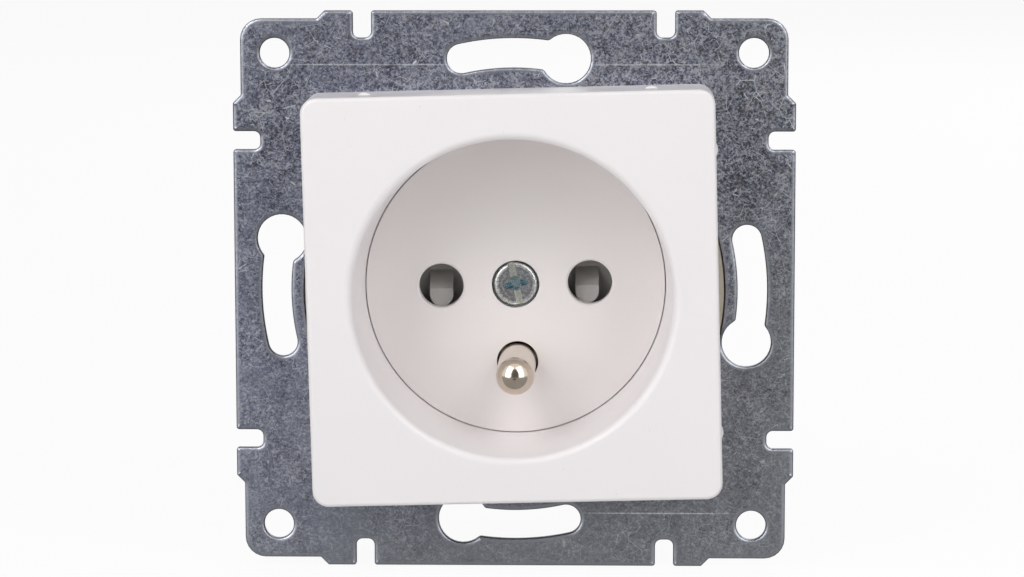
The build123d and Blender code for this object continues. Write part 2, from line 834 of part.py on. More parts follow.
def earth_strap():
    """Brass strap from the earth pin past its terminal, then forward to the plate's back."""
    half = strap_half_width
    top = pin_shoulder_r - earth_drop
    strap = block(-half, half, pad_depth, strap_back, -riser_back_r, top)
    strap += block(-half, half, 0, strap_back, -riser_back_r, -riser_r)
    foot = riser_back_r + strap_foot
    strap += block(-half, half, 0, strap_thickness, -foot, -riser_r)
    back_edges = strap.edges().filter_by(Axis.X).group_by(Axis.Y)[-1]
    strap = fillet(back_edges.sort_by(Axis.Z)[0], strap_thickness)
    strap -= round_bar(pin_tail_r + pin_tail_gap, strap_back + past, pad_depth - past, 0, -earth_drop)
    return askew(terminal_hole(strap, pad_depth, strap_thickness, 0, -terminal_r))


def at_terminal(shape, angle):
    """Carry a right-hand terminal's piece to the terminal at an angle."""
    return askew(about_front(angle, shape))


pieces = {
    "mounting_plate": mounting_plate(),
    "plate_rivets": plate_rivets(),
    "cover_frame": cover_frame(),
    "floor_plate": floor_plate(),
    "centre_screw": centre_screw(),
    "centre_nut": centre_nut(),
    "shutter": shutter(),
    "shutter_spring": shutter_spring(),
    "shutter_keeper": shutter_keeper(),
    "base": base(),
    "line_contact": line_contact(),
    "neutral_contact": neutral_contact(),
    "contact_clips": contact_clips(),
    "line_screw": at_terminal(terminal_screw(), 0),
    "neutral_screw": at_terminal(terminal_screw(), 180),
    "earth_screw": at_terminal(terminal_screw(), 270),
    "line_clamp": at_terminal(terminal_clamp(), 0),
    "neutral_clamp": at_terminal(terminal_clamp(), 180),
    "earth_clamp": at_terminal(terminal_clamp(), 270),
    "earth_pin": earth_pin(),
    "earth_strap": earth_strap(),
}

os.makedirs("parts", exist_ok=True)
for name, piece in pieces.items():
    export_step(piece, f"parts/{name}.step")
    print(name, "solids", len(piece.solids()), "volume", round(piece.volume, 1))
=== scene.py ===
from math import asin, cos, pi, radians, sin

import bpy
import numpy as np
from mathutils import Matrix, Vector
from mathutils.geometry import delaunay_2d_cdt


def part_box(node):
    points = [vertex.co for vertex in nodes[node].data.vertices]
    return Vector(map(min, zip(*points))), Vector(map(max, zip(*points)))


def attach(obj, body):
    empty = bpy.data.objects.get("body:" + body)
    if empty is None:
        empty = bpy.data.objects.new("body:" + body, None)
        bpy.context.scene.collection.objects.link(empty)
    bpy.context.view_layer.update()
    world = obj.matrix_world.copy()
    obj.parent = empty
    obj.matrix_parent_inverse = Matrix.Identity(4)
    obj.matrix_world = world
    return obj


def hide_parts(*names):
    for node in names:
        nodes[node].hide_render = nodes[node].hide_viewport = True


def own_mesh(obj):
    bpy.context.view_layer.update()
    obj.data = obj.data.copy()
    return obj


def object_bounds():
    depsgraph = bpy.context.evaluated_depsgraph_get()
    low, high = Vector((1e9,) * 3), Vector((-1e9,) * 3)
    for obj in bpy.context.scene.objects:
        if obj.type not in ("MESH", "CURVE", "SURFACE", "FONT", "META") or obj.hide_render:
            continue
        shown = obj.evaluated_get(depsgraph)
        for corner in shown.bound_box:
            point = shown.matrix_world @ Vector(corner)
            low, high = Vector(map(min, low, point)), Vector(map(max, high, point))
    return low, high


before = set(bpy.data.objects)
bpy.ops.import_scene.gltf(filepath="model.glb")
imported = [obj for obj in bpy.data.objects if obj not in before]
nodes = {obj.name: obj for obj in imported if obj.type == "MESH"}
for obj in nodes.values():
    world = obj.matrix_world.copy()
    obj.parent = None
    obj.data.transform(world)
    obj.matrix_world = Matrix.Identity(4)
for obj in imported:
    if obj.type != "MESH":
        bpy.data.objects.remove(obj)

cad_low, cad_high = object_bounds()


# The camera stands a little above and to the right of the socket's axis, as far off as a long
# lens needs, and looks at a point just beside the middle of the mounting plate's front.
image_width = 1024
focal_pixels = 3769.3
camera_distance = 0.4750
camera_elevation = radians(7.75)
camera_azimuth = radians(1.671)
camera_roll = radians(-0.10)
look_at = Vector((-0.000267, -0.0010, 0.000314))
towards_camera = Vector((sin(camera_azimuth) * cos(camera_elevation),
                         -cos(camera_azimuth) * cos(camera_elevation),
                         sin(camera_elevation)))

lens = bpy.data.cameras.new("camera")
lens.sensor_width = 36.0
lens.lens = lens.sensor_width * focal_pixels / image_width
lens.clip_start = 0.01
lens.clip_end = 20.0
camera = bpy.data.objects.new("camera", lens)
bpy.context.scene.collection.objects.link(camera)
aim = (-towards_camera).to_track_quat("-Z", "Y").to_matrix().to_4x4()
turn = aim @ Matrix.Rotation(camera_roll, 4, "Z")
camera.matrix_world = Matrix.Translation(look_at + camera_distance * towards_camera) @ turn
bpy.context.scene.camera = camera


# The studio: a white table at the plate's lower edge, a white background, two large soft boxes
# beside the camera, two small ones near the socket and one behind it. A dark card stands behind
# the camera, between the large boxes.
def finish(name, colour, metallic, roughness):
    """A new material with its plain values set on the shader. Returns it, its tree and the shader."""
    made = bpy.data.materials.new(name)
    made.use_nodes = True
    tree = made.node_tree
    shader = next(n for n in tree.nodes if n.type == "BSDF_PRINCIPLED")
    shader.inputs["Base Color"].default_value = (*colour, 1)
    shader.inputs["Metallic"].default_value = metallic
    shader.inputs["Roughness"].default_value = roughness
    return made, tree, shader


def step(tree, kind, inputs, out=0, **settings):
    """Add a node, set or link its inputs by name or number, and return one of its outputs."""
    made = tree.nodes.new("ShaderNode" + kind)
    for key, value in settings.items():
        setattr(made, key, value)
    for key, value in inputs.items():
        if isinstance(value, bpy.types.NodeSocket):
            tree.links.new(value, made.inputs[key])
        else:
            made.inputs[key].default_value = value
    return made.outputs[out]


def maths(tree, operation, first, second=0.0, third=0.0):
    """One Math node: the operation on two or three numbers or sockets."""
    return step(tree, "Math", {0: first, 1: second, 2: third}, operation=operation)


def show(tree, look):
    """Link a shader to the material's output, in place of the one that was there."""
    output = next(n for n in tree.nodes if n.type == "OUTPUT_MATERIAL")
    tree.links.new(look, output.inputs["Surface"])


def mesh_piece(name, points, faces):
    """A smooth-shaded mesh from an (n, 3) array of points in metres and lists of faces."""
    mesh = bpy.data.meshes.new(name)
    mesh.from_pydata(points.tolist(), [], faces)
    mesh.update()
    mesh.polygons.foreach_set("use_smooth", np.full(len(mesh.polygons), True))
    piece = bpy.data.objects.new(name, mesh)
    bpy.context.scene.collection.objects.link(piece)
    return piece


# The camera sees the table as nearly pure white, and what is left of its own colour takes the shadow
table_half = 3.0
table_colour = (0.85, 0.85, 0.85)
table_glow_share = 0.93
table_glow_mirrored = 0.35
square = np.array([(-1, -1), (1, -1), (1, 1), (-1, 1)])
table_points = np.column_stack([square * table_half, np.full(4, cad_low.z)])
table = mesh_piece("table", table_points, [(0, 1, 2, 3)])
table_finish, tree, shader = finish("white_table", table_colour, metallic=0.0, roughness=0.6)
by_camera = step(tree, "LightPath", {}, "Is Camera Ray")
by_gloss = step(tree, "LightPath", {}, "Is Glossy Ray")
share = maths(tree, "MULTIPLY", maths(tree, "MAXIMUM", by_camera, by_gloss), table_glow_share)
glow_strength = maths(tree, "MULTIPLY_ADD", by_gloss, table_glow_mirrored - 1, 1.0)
glow = step(tree, "Emission", {"Strength": glow_strength})
show(tree, step(tree, "MixShader", {0: share, 1: shader.outputs[0], 2: glow}))
table.data.materials.append(table_finish)

# The background is pure white to the camera and in mirrors, and a faint fill light to the rest
fill_strength = 0.08
world = bpy.data.worlds.new("studio")
bpy.context.scene.world = world
world.use_nodes = True
tree = world.node_tree
tree.nodes.clear()
seen = step(tree, "LightPath", {}, "Is Camera Ray")
for ray in ("Is Glossy Ray", "Is Transmission Ray"):
    seen = maths(tree, "MAXIMUM", seen, step(tree, "LightPath", {}, ray))
fill = step(tree, "Background", {"Color": (1, 1, 1, 1), "Strength": fill_strength})
white = step(tree, "Background", {"Color": (1, 1, 1, 1), "Strength": 1.0})
mixed = step(tree, "MixShader", {0: seen, 1: fill, 2: white})
world_out = tree.nodes.new("ShaderNodeOutputWorld")
tree.links.new(mixed, world_out.inputs["Surface"])


def soft_box(name, place, size, watts):
    """A rectangular soft box that faces the socket."""
    light = bpy.data.lights.new(name, "AREA")
    light.shape = "RECTANGLE"
    light.size, light.size_y = size
    light.energy = watts
    box = bpy.data.objects.new(name, light)
    bpy.context.scene.collection.objects.link(box)
    box.location = place
    box.rotation_euler = (-Vector(place)).to_track_quat("-Z", "Y").to_euler()


large_size = (0.45, 0.80)
small_size = (0.22, 0.22)
back_size = (0.5, 0.5)
soft_box("left_box", (-0.509, -0.565, 0.247), large_size, 2.7)
soft_box("right_box", (0.509, -0.565, 0.247), large_size, 1.85)
soft_box("near_left_box", (-0.183, -0.234, 0.297), small_size, 0.43)
soft_box("near_right_box", (0.183, -0.234, 0.297), small_size, 0.39)
soft_box("back_box", (0.35, 0.75, 0.45), back_size, 3.2)

# Only polished surfaces see the dark card
card_distance = 0.62
card_half_width = 0.25
card_half_height = 0.60
card_grey = 0.12
card_x, card_z = (square * (card_half_width, card_half_height)).T
card_points = np.column_stack([card_x, np.zeros(4), card_z]) + np.array(towards_camera * card_distance)
card = mesh_piece("dark_card", card_points, [(0, 3, 2, 1)])
card_finish, tree = finish("dark_card", (0, 0, 0), metallic=0.0, roughness=1.0)[:2]
show(tree, step(tree, "Emission", {"Color": (card_grey, card_grey, card_grey, 1), "Strength": 1.0}))
card.data.materials.append(card_finish)
card.visible_camera = False
card.visible_diffuse = False
card.visible_shadow = False
card.visible_transmission = False


# The mounting plate is blanked from 1 mm galvanised sheet, so its edges are drawn in a little on
# the struck side and sharp on the other. Its corners are stepped, its edges notched for the trim
# frame, and four keyholes on a 60 mm circle take the box screws. The base fills its opening.
mm = 0.001
box_pitch = 60.0
plate_half = 35.3
plate_corner_r = 2.6
corner_step = 1.0
step_start = 23.7
step_r = 0.25
notch_at = 19.0
notch_half = 1.15
notch_depth = 3.4
notch_inner_r = 0.8
notch_mouth_r = 0.35
corner_hole_r = 1.875
key_slot_half = 1.85
key_hole_r = 3.1
key_neck_r = 0.5
key_end = radians(12.6)
opening_r = 23.4
lobe_r = 26.5
lobe_half_height = 8.04
rivet_ring_r = 24.95
rivet_hole_r = 1.05
insert_twist = radians(1.4)
# How far in from the edge, and how deep, the drawn edge's section runs from back to front
edge_in = np.array([0.14, 0.05, 0.0, 0.0, 0.03, 0.1, 0.22, 0.38, 0.6])
edge_depth = np.array([0.0, -0.02, -0.09, -0.66, -0.8, -0.89, -0.945, -0.98, -1.0])
# How far apart the points stand along the edges that show, and along those under the cover
shown_spacing = 0.25
covered_spacing = 0.4


def unit(vectors):
    """The same vectors, each with a length of 1."""
    return vectors / np.linalg.norm(vectors, axis=1)[:, None]


def filleted(corners, radii, count=7):
    """A polygon's outline with each corner rounded: round its centre, which lies on the corner's
    bisector, an arc runs between the two points where it touches the sides."""
    before = unit(np.roll(corners, 1, axis=0) - corners)
    after = unit(np.roll(corners, -1, axis=0) - corners)
    half = np.arccos(np.clip((before * after).sum(axis=1), -1, 1)) / 2
    inward = unit(before + after)
    across = unit(before - (before * inward).sum(axis=1)[:, None] * inward)
    centres = corners + inward * (radii / np.sin(half))[:, None]
    angles = (pi / 2 - half)[:, None] * np.linspace(1, -1, count)[None, :]
    rays = np.sin(angles)[:, :, None] * across[:, None, :] - np.cos(angles)[:, :, None] * inward[:, None, :]
    return (centres[:, None, :] + radii[:, None, None] * rays).reshape(-1, 2)


def arcs(rows, count=28):
    """Points along arcs one after another, each row being centre x, centre z, radius and two angles."""
    centre_x, centre_z, radius, start, end = np.array(rows, float).T
    angle = start[:, None] + (end - start)[:, None] * np.linspace(0, 1, count)[None, :]
    x = centre_x[:, None] + radius[:, None] * np.cos(angle)
    z = centre_z[:, None] + radius[:, None] * np.sin(angle)
    return np.column_stack([x.ravel(), z.ravel()])


def turned(points, angle):
    """Turn (x, z) points anticlockwise about the socket's axis."""
    c, s = cos(angle), sin(angle)
    return points @ np.array([[c, s], [-s, c]])


def even(loop, spacing):
    """The same closed loop with points at most a spacing apart, its own points among them."""
    closed = np.vstack([loop, loop[:1]])
    length = np.concatenate([[0], np.cumsum(np.linalg.norm(np.diff(closed, axis=0), axis=1))])
    length, first = np.unique(length.round(6), return_index=True)
    closed = closed[first]
    extra = np.arange(0, length[-1], spacing)
    after = np.searchsorted(length, extra).clip(1, len(length) - 1)
    near = np.minimum(abs(extra - length[after - 1]), abs(length[after] - extra))
    where = np.sort(np.concatenate([length[:-1], extra[near > spacing / 2]]))
    return np.column_stack([np.interp(where, length, closed[:, i]) for i in range(2)])


def blank_outline():
    """One side of the blank with its steps and notches, turned into four."""
    inner = plate_half - corner_step
    side = [(inner, inner, plate_corner_r),
            (step_start + corner_step, inner, step_r),
            (step_start, plate_half, step_r)]
    for at in (notch_at, -notch_at):
        side += [(at + notch_half, plate_half, notch_mouth_r),
                 (at + notch_half, plate_half - notch_depth, notch_inner_r),
                 (at - notch_half, plate_half - notch_depth, notch_inner_r),
                 (at - notch_half, plate_half, notch_mouth_r)]
    side += [(-step_start, plate_half, step_r), (-step_start - corner_step, inner, step_r)]
    side = np.array(side)
    corners = np.vstack([turned(side[:, :2], quarter * pi / 2) for quarter in range(4)])
    return filleted(corners, np.tile(side[:, 2], 4))


def keyhole_outline():
    """The top keyhole, clockwise: slot, rounded end and round hole, with small arcs in its necks."""
    ring = box_pitch / 2
    far, near = pi / 2 + key_end, pi / 2 - key_end
    hole = np.array([ring * cos(near), ring * sin(near)])
    far_end = np.array([ring * cos(far), ring * sin(far)])
    necks = []
    for way in (1, -1):
        neck_ring = ring + way * (key_slot_half + key_neck_r)
        reach = key_hole_r + key_neck_r
        spread = np.arccos((neck_ring**2 + ring**2 - reach**2) / (2 * neck_ring * ring))
        angle = near + spread
        centre = np.array([neck_ring * cos(angle), neck_ring * sin(angle)])
        to_hole = np.arctan2(*(hole - centre)[::-1])
        to_slot = angle + pi if way == 1 else angle
        necks.append((centre, angle, to_hole, to_slot))
    (top, top_angle, top_to_hole, top_to_slot), (low, low_angle, low_to_hole, low_to_slot) = necks
    hole_start = top_to_hole + pi
    hole_end = low_to_hole + pi
    full = 2 * pi
    return arcs([
        (0, 0, ring + key_slot_half, far, top_angle),
        (*top, key_neck_r, top_to_slot, top_to_slot + (top_to_hole - top_to_slot + pi) % full - pi),
        (*hole, key_hole_r, hole_start, hole_start - (hole_start - hole_end) % full),
        (*low, key_neck_r, low_to_hole, low_to_hole + (low_to_slot - low_to_hole + pi) % full - pi),
        (0, 0, ring - key_slot_half, low_angle, far),
        (*far_end, key_slot_half, far + pi, far),
    ])


def opening_outline():
    """The opening round the base, clockwise: a circle with a lobe at each side."""
    out = asin(lobe_half_height / lobe_r)
    low = asin(lobe_half_height / opening_r)
    return arcs([
        (0, 0, lobe_r, out, -out), (0, 0, opening_r, -low, low - pi),
        (0, 0, lobe_r, out - pi, -out - pi), (0, 0, opening_r, -low - pi, low - 2 * pi),
    ], count=60)


def round_hole(x, z, radius):
    """A clockwise circle."""
    return arcs([(x, z, radius, 0, -2 * pi)], count=40)


def plate_loops():
    """All outlines with evenly spaced points: the rim first, then the holes, which run clockwise."""
    hole_at = box_pitch / 2
    quarters = [quarter * pi / 2 for quarter in range(4)]
    loops = [even(blank_outline(), shown_spacing)]
    loops += [even(turned(keyhole_outline(), angle), shown_spacing) for angle in quarters]
    corners = [(x, z) for x in (-hole_at, hole_at) for z in (-hole_at, hole_at)]
    loops += [even(round_hole(x, z, corner_hole_r), shown_spacing) for x, z in corners]
    loops += [even(turned(opening_outline(), insert_twist), covered_spacing)]
    rivet = round_hole(rivet_ring_r, 0, rivet_hole_r)
    first_rivet = insert_twist + pi / 4
    loops += [even(turned(rivet, first_rivet + angle), covered_spacing) for angle in quarters]
    return loops


def sheet_normals(loops):
    """At each point of the outlines, the way into the sheet, square to the edge."""
    ahead = np.vstack([np.roll(loop, -1, axis=0) - loop for loop in loops])
    behind = np.vstack([loop - np.roll(loop, 1, axis=0) for loop in loops])
    along = unit(unit(ahead) + unit(behind))
    return np.column_stack([-along[:, 1], along[:, 0]])


def free_room(points, normals, batches=16, level=1e-5, widest=9.0, share=0.9):
    """How far each point can go along its normal: a share of the radius of the smallest circle
    that touches the edge there and passes through another point. That radius is the squared
    distance over twice the part of it along the normal."""
    room = []
    for part in np.array_split(np.arange(len(points)), batches):
        gap = points[None, :, :] - points[part, None, :]
        ahead = (gap * normals[part, None, :]).sum(axis=2)
        radius = (gap**2).sum(axis=2) / (2 * np.maximum(ahead, level))
        room.append(np.where(ahead > level, radius, widest).min(axis=1))
    return share * np.concatenate(room)


def sheet_corners(outline, ties, loop_of):
    """The corners of the triangles that fill the flat sheet between the rim and the holes. A
    triangle that lies in a hole has all its corners on that hole's clockwise outline."""
    inside_only, weld_distance = 1, 1e-6
    found = delaunay_2d_cdt([Vector(p) for p in outline], ties.tolist(), [], inside_only, weld_distance)
    own = np.array([source[0] for source in found[3]])
    corners = own[np.array(found[2])]
    first, second, third = corners.T
    one_hole = (loop_of[first] > 0) & (np.ptp(loop_of[corners], axis=1) == 0)
    in_hole = one_hole & ((second - first) * (third - second) * (first - third) > 0)
    return corners[~in_hole]


def plate_piece():
    """The blank: each outline carries the edge's section inwards along its normals, never further
    than the nearest other edge allows, and flat sheets close the front and the back between them."""
    loops = plate_loops()
    points = np.vstack(loops)
    normals = sheet_normals(loops)
    inward = np.minimum(edge_in[None, :], free_room(points, normals)[:, None])
    flat = points[:, None, :] + inward[:, :, None] * normals[:, None, :]
    rings = len(edge_in)
    depth = np.broadcast_to(edge_depth, inward.shape)
    mesh_points = np.stack([flat[:, :, 0], depth, flat[:, :, 1]], axis=2).reshape(-1, 3) * mm
    faces, ties, start = [], [], 0
    for loop in loops:
        i = start + np.arange(len(loop))
        after = np.roll(i, -1)
        ties.append(np.column_stack([i, after]))
        for ring in range(rings - 1):
            a, b = i * rings + ring, after * rings + ring
            faces.append(np.column_stack([a, b, b + 1, a + 1]))
        start += len(loop)
    ties = np.vstack(ties)
    loop_of = np.repeat(np.arange(len(loops)), [len(loop) for loop in loops])
    sheets = []
    for ring, way in ((0, -1), (rings - 1, 1)):
        corners = sheet_corners(flat[:, ring], ties, loop_of)
        sheets.append((corners * rings + ring)[:, ::way])
    all_faces = np.vstack(faces).tolist() + np.vstack(sheets).tolist()
    piece = mesh_piece("mounting_plate_pressed", mesh_points, all_faces)
    # Each ring's nearness to the edge. The sheet's finish uses it for a painted highlight on the rounding
    # and for the darker worn cut edge.
    wear_and_highlight = piece.data.attributes.new("edge_wear_and_highlight", "FLOAT", "POINT")
    ring_wear_and_highlight = 1 - edge_in / edge_in.max()
    wear_and_highlight.data.foreach_set("value", np.tile(ring_wear_and_highlight, len(points)))
    weighted = piece.modifiers.new("even_shading", "WEIGHTED_NORMAL")
    weighted.keep_sharp = False
    return piece


def surface_point(tree, scale=(1, 1, 1)):
    """The place on the piece in millimetres, stretched along its axes."""
    there = step(tree, "TexCoord", {}, "Object")
    return step(tree, "Mapping", {"Vector": there, "Scale": tuple(s / mm for s in scale)})


def axis_of(tree, where, axis):
    """One coordinate of a place."""
    return step(tree, "SeparateXYZ", {"Vector": where}, axis)


def times(tree, product, *factors):
    """The product of two or more numbers or sockets."""
    for factor in factors:
        product = maths(tree, "MULTIPLY", product, factor)
    return product


def cloud(tree, where, scale, detail=2.0, roughness=0.5):
    """Soft noise between 0 and 1, its scale in lumps to the millimetre."""
    inputs = {"Vector": where, "Scale": scale, "Detail": detail, "Roughness": roughness}
    return step(tree, "TexNoise", inputs, "Fac")


def grains(tree, where, scale, channel):
    """Cells with a random value each between 0 and 1, their scale in cells to the millimetre."""
    cells = step(tree, "TexVoronoi", {"Vector": where, "Scale": scale}, "Color")
    return step(tree, "SeparateColor", {"Color": cells}, channel)


def ramp(tree, value, low, high, to_low=0.0, to_high=1.0):
    """A value's range from low to high stretched over another range, and held at its ends."""
    inputs = {"Value": value, "From Min": low, "From Max": high, "To Min": to_low, "To Max": to_high}
    return step(tree, "MapRange", inputs)


def blended(tree, share, first, second):
    """Two colours blended by a share. Either may be plain numbers."""
    sides = [side if isinstance(side, bpy.types.NodeSocket) else (*side, 1) for side in (first, second)]
    return step(tree, "Mix", {0: share, 6: sides[0], 7: sides[1]}, 2, data_type="RGBA")


def coat(tree, shader, colour, roughness=None):
    """Link a surface's colour to the shader, and its roughness where that varies."""
    tree.links.new(colour, shader.inputs["Base Color"])
    if roughness is not None:
        tree.links.new(roughness, shader.inputs["Roughness"])


def roughen(tree, shader, height, depth, strength):
    """Bump the shader by a height between 0 and 1 that stands for a depth in millimetres."""
    bump = step(tree, "Bump", {"Height": height, "Strength": strength, "Distance": depth * mm}, "Normal")
    tree.links.new(bump, shader.inputs["Normal"])


def cuts(tree, where, scale, width, kept, seed, fade=0.06):
    """Thin straight scratches: the borders of large cells, of which soft noise keeps short stretches."""
    cells = {"Vector": where, "Scale": scale}
    border = step(tree, "TexVoronoi", cells, "Distance", feature="DISTANCE_TO_EDGE")
    line = ramp(tree, border, width * scale, 0.0)
    shifted = step(tree, "VectorMath", {0: where, 1: (seed, seed * 1.7, -seed)}, operation="ADD")
    stretch = ramp(tree, cloud(tree, shifted, scale * 1.6), kept, kept + fade)
    return times(tree, line, stretch)


zinc_blue = (0.245, 0.262, 0.350)
zinc_grey = (0.245, 0.254, 0.278)
zinc_pale = (0.640, 0.655, 0.725)
zinc_dark = (0.070, 0.073, 0.095)
zinc_brown = (0.200, 0.170, 0.158)
scratch_colour = (0.85, 0.87, 0.90)
# The edge colour is a painted highlight on the drawn edges' rounding.
edge_highlight_colour = (0.360, 0.375, 0.420)
crystal_scale = 4.6
small_crystal_scale = 8.0
stain_share = 0.38
scratch_share = 0.75
edge_highlight_share = 0.7
worn_share = 0.8
scribe_half = 0.05
scribe_fade = 5.0
# Each scribed line's height, left end and right end
upper_scribe = (28.55, -31.0, 28.0)
lower_scribe = (-28.45, 8.0, 29.0)


def crystal_mottle(tree, there, soft):
    """Light and dark in the zinc, about 0 on the whole: the weighted sum of large and small
    crystal cells, soft noise and wide patches, less the usual value of that sum."""
    cells = grains(tree, there, crystal_scale, "Red")
    small_cells = grains(tree, there, small_crystal_scale, "Green")
    patches = cloud(tree, there, 0.45, 3.0, 0.6)
    mottle = maths(tree, "MULTIPLY_ADD", cells, 0.46, times(tree, small_cells, 0.30))
    mottle = maths(tree, "MULTIPLY_ADD", soft, 0.9, maths(tree, "SUBTRACT", mottle, 1.18))
    return maths(tree, "MULTIPLY_ADD", patches, 0.7, mottle)


def crystal_contrast(tree, there, across, up, slant):
    """How strongly the crystals show: more towards the top and the right, less towards the lower
    right corner, and different from patch to patch."""
    top = ramp(tree, up, -28.0, 20.0, 0.75, 1.5)
    right = ramp(tree, across, 0.0, 14.0, 0.95, 1.3)
    wild = ramp(tree, cloud(tree, there, 0.12), 0.35, 0.65, 0.75, 1.2)
    calm = ramp(tree, slant, 15.0, 45.0, 1.0, 0.55)
    return times(tree, top, right, wild, calm)


def scuffs(tree, there, across, up):
    """Rubbed patches along the top, fewer towards the left."""
    shifted = step(tree, "VectorMath", {0: there, 1: (4.0, 0.0, 9.0)}, operation="ADD")
    rubbed = ramp(tree, cloud(tree, shifted, 1.1, 3.0, 0.6), 0.585, 0.64)
    near_top = ramp(tree, up, 18.0, 28.0, 0.0, 0.7)
    rightwards = ramp(tree, across, -20.0, 15.0, 0.35, 1.0)
    return times(tree, rubbed, near_top, rightwards)


def scribed(tree, across, up, soft, scribe):
    """A thin line scribed across the sheet, which fades at both ends and is fainter in places."""
    height, start, end = scribe
    off = maths(tree, "ABSOLUTE", maths(tree, "SUBTRACT", up, height))
    line = ramp(tree, off, scribe_half, scribe_half * 2.2, 1.0, 0.0)
    from_left = ramp(tree, across, start, start + scribe_fade)
    to_right = ramp(tree, across, end, end - scribe_fade)
    fainter = ramp(tree, soft, 0.3, 0.6, 0.25, 0.75)
    return times(tree, line, from_left, to_right, fainter)


def galvanised_sheet():
    """Zinc-coated sheet: fine bright and dark crystals, strongest towards the top, brownish stains,
    scuffs and scratches from handling, two scribed lines, a painted highlight on the drawn edges,
    a darker worn cut edge, and a painted sheen that is paler towards the bottom."""
    made, tree, shader = finish("galvanised_sheet", zinc_blue, metallic=1.0, roughness=0.42)
    there = surface_point(tree)
    up = axis_of(tree, there, "Z")
    across = axis_of(tree, there, "X")
    # The slant grows towards the lower right corner
    slant = maths(tree, "MULTIPLY_ADD", across, 0.8, times(tree, up, -1.0))
    slant = maths(tree, "MULTIPLY_ADD", cloud(tree, there, 0.08), 30.0, slant)
    soft = cloud(tree, there, 2.4, 3.0, 0.6)
    mottle = crystal_mottle(tree, there, soft)
    contrast = crystal_contrast(tree, there, across, up, slant)
    tone = times(tree, mottle, contrast)
    colour = blended(tree, ramp(tree, slant, -5.0, 45.0), zinc_blue, zinc_grey)
    colour = blended(tree, ramp(tree, tone, 0.02, 0.52), colour, zinc_pale)
    colour = blended(tree, ramp(tree, tone, -0.02, -0.42), colour, zinc_dark)
    stain = ramp(tree, cloud(tree, there, 1.6, 4.0, 0.75), 0.50, 0.70)
    colour = blended(tree, times(tree, stain, contrast, stain_share), colour, zinc_brown)
    colour = blended(tree, scuffs(tree, there, across, up), colour, zinc_pale)
    long_cuts = cuts(tree, there, scale=0.35, width=0.035, kept=0.50, seed=3.0)
    short_cuts = cuts(tree, there, scale=0.8, width=0.03, kept=0.54, seed=11.0)
    scratched = maths(tree, "MAXIMUM", long_cuts, short_cuts)
    scratched = times(tree, scratched, times(tree, contrast, scratch_share))
    colour = blended(tree, scratched, colour, scratch_colour)
    for scribe in (upper_scribe, lower_scribe):
        colour = blended(tree, scribed(tree, across, up, soft, scribe), colour, scratch_colour)
    wear_and_highlight = step(tree, "Attribute", {}, "Fac", attribute_name="edge_wear_and_highlight")
    inner_side = ramp(tree, wear_and_highlight, 0.03, 0.35)
    outer_side = ramp(tree, wear_and_highlight, 0.7, 0.98, 1.0, 0.15)
    # Painted highlight: a paler band over the rounding of the drawn edge. Beyond it the cut edge is darker
    # with wear.
    edge = times(tree, inner_side, outer_side, edge_highlight_share)
    colour = blended(tree, edge, colour, edge_highlight_colour)
    worn = times(tree, ramp(tree, wear_and_highlight, 0.72, 0.95), worn_share)
    colour = blended(tree, worn, colour, zinc_dark)
    # Painted sheen: the whole sheet is painted paler towards the bottom and darker towards the top.
    painted_sheen_below = ramp(tree, up, -30.0, 30.0, 1.22, 0.86)
    colour = step(tree, "VectorMath", {0: colour, "Scale": painted_sheen_below}, operation="SCALE")
    dull = ramp(tree, maths(tree, "ADD", tone, edge), -0.3, 0.6, 0.50, 0.36)
    coat(tree, shader, colour, dull)
    roughen(tree, shader, maths(tree, "ADD", mottle, scratched), depth=0.004, strength=0.6)
    return made


plate = plate_piece()
plate.data.materials.append(galvanised_sheet())
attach(plate, "housing")
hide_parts("mounting_plate")


# The base is moulded in cream urea, stiff and slightly speckled. Its boss stands through the plate
# and its flange lies behind it, held by four rivets. The thin keeper plate is cut of the same.
def dress(names, material):
    """Give CAD nodes their finish, in place of the plain one that they come with."""
    for name in names:
        nodes[name].data.materials.clear()
        nodes[name].data.materials.append(material)


cream = (0.40, 0.355, 0.285)
cream_pale = (0.47, 0.42, 0.34)
cream_dark = (0.30, 0.255, 0.19)
flow_share = 0.5
fleck_share = 0.35


def moulded_cream():
    """Moulded urea: pale and dark flecks in the powder, faint flow clouds, a fine grain all over."""
    made, tree, shader = finish("moulded_cream", cream, metallic=0.0, roughness=0.42)
    there = surface_point(tree)
    flow = ramp(tree, cloud(tree, surface_point(tree, (1, 0.35, 1)), 0.14, 3.0), 0.35, 0.65)
    fleck = grains(tree, there, 3.4, "Red")
    colour = blended(tree, times(tree, flow, flow_share), cream, cream_pale)
    colour = blended(tree, ramp(tree, fleck, 0.86, 0.98, 0.0, fleck_share), colour, cream_dark)
    colour = blended(tree, ramp(tree, fleck, 0.12, 0.02, 0.0, fleck_share), colour, cream_pale)
    coat(tree, shader, colour, ramp(tree, flow, 0, 1, 0.38, 0.5))
    roughen(tree, shader, cloud(tree, there, 6.0, 3.0, 0.6), depth=0.012, strength=0.6)
    return made


dress(["base", "shutter_keeper"], moulded_cream())


# The rivets, the centre screw's square nut, the terminal screws and their saddle washers are steel
# with a bright zinc plating, bluish with a trace of yellow, paler where tools and wires rub it.
bright_zinc = (0.55, 0.60, 0.61)
zinc_yellow = (0.62, 0.60, 0.48)
zinc_worn = (0.86, 0.87, 0.86)
haze_share = 0.5
worn_streak_share = 0.6


